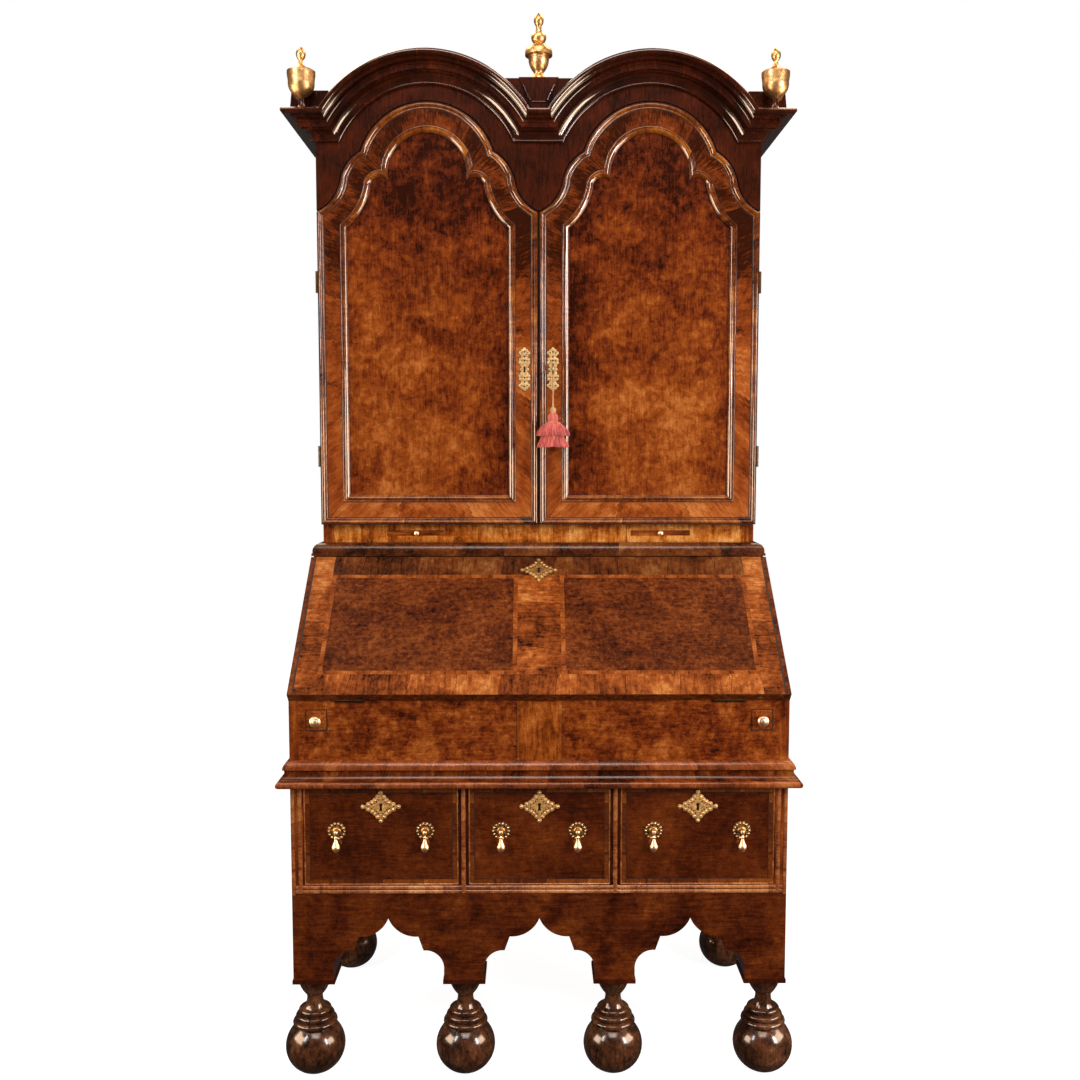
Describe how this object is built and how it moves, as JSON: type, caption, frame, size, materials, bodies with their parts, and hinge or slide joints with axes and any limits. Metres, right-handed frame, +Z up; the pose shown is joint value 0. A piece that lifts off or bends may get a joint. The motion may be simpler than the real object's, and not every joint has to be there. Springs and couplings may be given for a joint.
{
  "type": "bureau cabinet",
  "caption": "Walnut bureau cabinet on a stand: arched doors under a double-domed cornice, sloping fall over a desk, drawers, scalloped apron and ball feet.",
  "frame": {"origin": "on the floor under the middle of the overall plan", "axes": "+X to the right seen from the front, +Y to the back, +Z up"},
  "size_m": [1.084, 0.599, 2.2044],
  "materials": {
    "walnut": "waxed walnut veneer",
    "burr_walnut": "waxed burr walnut veneer",
    "cross_grain_walnut": "waxed walnut laid across the run",
    "dark_walnut": "dark polished walnut",
    "oak": "plain oak",
    "gilt_brass": "gilt",
    "brass": "old polished brass",
    "steel": "filed steel",
    "gold_cord": "twisted cord",
    "red_silk": "silk fringe"
  },
  "bodies": {
    "carcass": {"stand_apron": "walnut", "stand_side_left": "walnut", "stand_side_right": "walnut", "drawer_dividers": "walnut", "drawer_deck": "walnut", "bureau_side_left": "walnut", "bureau_side_right": "walnut", "bureau_front": "walnut", "bureau_bottom": "walnut", "bureau_top": "walnut", "writing_bed": "walnut", "pigeonholes": "walnut", "cabinet_side_left": "walnut", "cabinet_side_right": "walnut", "cabinet_base_rail": "walnut", "waist_moulding": "cross_grain_walnut", "ball_feet": "dark_walnut", "foot_blocks": "dark_walnut", "frieze_board": "dark_walnut", "cornice": "dark_walnut", "finial_plinths": "dark_walnut", "cabinet_roof": "dark_walnut", "slide_guides": "oak", "back_boards": "oak", "cabinet_shelves": "oak", "corner_finials": "gilt_brass", "centre_finial": "gilt_brass", "hinge_plates": "brass"},
    "door_left": {"door_left_frame": "walnut", "door_left_panel": "burr_walnut", "door_left_mouldings": "cross_grain_walnut", "door_left_brasses": "brass"},
    "door_right": {"door_right_frame": "walnut", "door_right_panel": "burr_walnut", "door_right_mouldings": "cross_grain_walnut", "door_right_brasses": "brass", "door_lock": "steel"},
    "lock_bolt": {"lock_bolt": "steel"},
    "key": {"key": "steel"},
    "tassel": {"tassel_cord": "gold_cord", "tassel": "red_silk"},
    "fall": {"fall_board": "burr_walnut", "fall_brasses": "brass"},
    "loper_left": {"loper_left": "walnut"},
    "loper_right": {"loper_right": "walnut"},
    "candle_slide_left": {"candle_slide_left": "walnut"},
    "candle_slide_right": {"candle_slide_right": "walnut"},
    "drawer_left": {"drawer_left": "walnut", "drawer_left_brasses": "brass"},
    "drawer_centre": {"drawer_centre": "walnut", "drawer_centre_brasses": "brass"},
    "drawer_right": {"drawer_right": "walnut", "drawer_right_brasses": "brass"},
    "well_slide": {"well_slide": "walnut"},
    "drop_handle_1": {"drop_handle_1": "brass"},
    "drop_handle_2": {"drop_handle_2": "brass"},
    "drop_handle_3": {"drop_handle_3": "brass"},
    "drop_handle_4": {"drop_handle_4": "brass"},
    "drop_handle_5": {"drop_handle_5": "brass"},
    "drop_handle_6": {"drop_handle_6": "brass"}
  },
  "joints": [
    {"name": "door_left_hinge", "type": "hinge", "parent": "carcass", "child": "door_left", "pos_m": [-0.48, -0.00514, 1.11888], "axis": [0, 0, -1], "range_deg": [0, 115]},
    {"name": "door_right_hinge", "type": "hinge", "parent": "carcass", "child": "door_right", "pos_m": [0.48, -0.00514, 1.11888], "axis": [0, 0, 1], "range_deg": [0, 115]},
    {"name": "fall_hinge", "type": "hinge", "parent": "carcass", "child": "fall", "pos_m": [0, -0.2775, 0.786], "axis": [1, 0, 0], "range_deg": [0, 137.01]},
    {"name": "loper_left_slide", "type": "slide", "parent": "carcass", "child": "loper_left", "axis": [0, -1, 0], "range_m": [0, 0.26]},
    {"name": "loper_right_slide", "type": "slide", "parent": "carcass", "child": "loper_right", "axis": [0, -1, 0], "range_m": [0, 0.26]},
    {"name": "candle_slide_left_pull", "type": "slide", "parent": "carcass", "child": "candle_slide_left", "axis": [0, -1, 0], "range_m": [0, 0.13]},
    {"name": "candle_slide_right_pull", "type": "slide", "parent": "carcass", "child": "candle_slide_right", "axis": [0, -1, 0], "range_m": [0, 0.13]},
    {"name": "drawer_left_slide", "type": "slide", "parent": "carcass", "child": "drawer_left", "axis": [0, -1, 0], "range_m": [0, 0.4]},
    {"name": "drawer_centre_slide", "type": "slide", "parent": "carcass", "child": "drawer_centre", "axis": [0, -1, 0], "range_m": [0, 0.4]},
    {"name": "drawer_right_slide", "type": "slide", "parent": "carcass", "child": "drawer_right", "axis": [0, -1, 0], "range_m": [0, 0.4]},
    {"name": "well_slide_push", "type": "slide", "parent": "carcass", "child": "well_slide", "axis": [0, 1, 0], "range_m": [0, 0.195]},
    {"name": "drop_handle_1_swing", "type": "hinge", "parent": "drawer_left", "child": "drop_handle_1", "pos_m": [-0.4075, -0.2875, 0.519], "axis": [-1, 0, 0], "range_deg": [0, 85]},
    {"name": "drop_handle_2_swing", "type": "hinge", "parent": "drawer_left", "child": "drop_handle_2", "pos_m": [-0.2295, -0.2875, 0.519], "axis": [-1, 0, 0], "range_deg": [0, 85]},
    {"name": "drop_handle_3_swing", "type": "hinge", "parent": "drawer_centre", "child": "drop_handle_3", "pos_m": [-0.077, -0.2875, 0.519], "axis": [-1, 0, 0], "range_deg": [0, 85]},
    {"name": "drop_handle_4_swing", "type": "hinge", "parent": "drawer_centre", "child": "drop_handle_4", "pos_m": [0.077, -0.2875, 0.519], "axis": [-1, 0, 0], "range_deg": [0, 85]},
    {"name": "drop_handle_5_swing", "type": "hinge", "parent": "drawer_right", "child": "drop_handle_5", "pos_m": [0.2295, -0.2875, 0.519], "axis": [-1, 0, 0], "range_deg": [0, 85]},
    {"name": "drop_handle_6_swing", "type": "hinge", "parent": "drawer_right", "child": "drop_handle_6", "pos_m": [0.4075, -0.2875, 0.519], "axis": [-1, 0, 0], "range_deg": [0, 85]},
    {"name": "key_turn", "type": "hinge", "parent": "door_right", "child": "key", "pos_m": [0.03101, -0.00514, 1.45888], "axis": [0, -1, 0], "range_deg": [0, 90]},
    {"name": "lock_bolt_throw", "type": "slide", "parent": "door_right", "child": "lock_bolt", "axis": [-1, 0, 0], "range_m": [0, 0.008]},
    {"name": "tassel_swing", "type": "hinge", "parent": "key", "child": "tassel", "pos_m": [0.03101, -0.02914, 1.44888], "axis": [0, -1, 0], "range_deg": [-90, 0]}
  ],
  "couplings": [
    {"joint": "lock_bolt_throw", "follows": "key_turn", "m_per_rad": 0.005092},
    {"joint": "tassel_swing", "follows": "key_turn", "ratio": -1}
  ]
}
